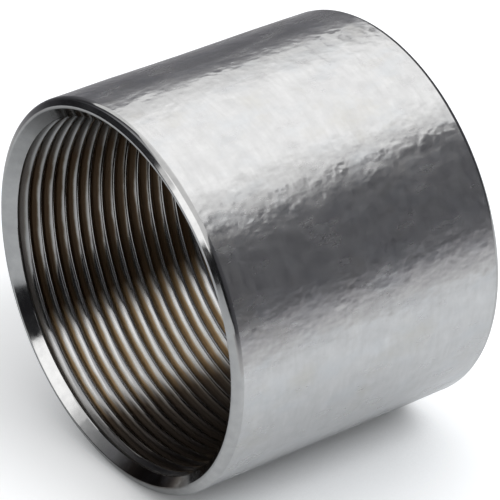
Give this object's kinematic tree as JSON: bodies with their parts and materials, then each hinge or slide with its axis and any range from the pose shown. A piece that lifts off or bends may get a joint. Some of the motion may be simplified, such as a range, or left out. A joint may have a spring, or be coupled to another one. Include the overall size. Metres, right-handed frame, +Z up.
{
  "type": "pipe coupling",
  "caption": "Short galvanised steel pipe sleeve with a bevelled, chamfered mouth at each end, internally threaded to join two pipes in line.",
  "frame": {"origin": "on the surface that the sleeve lies on, straight under the middle of the sleeve", "axes": "+X along the bore, +Z up; the two mouths face -X and +X and are the same"},
  "size_m": [0.05, 0.0636, 0.0635],
  "materials": {
    "galvanised_steel": "bright zinc coating, machined mouths"
  },
  "bodies": {
    "root": {"coupling_sleeve": "galvanised_steel"}
  },
  "joints": []
}
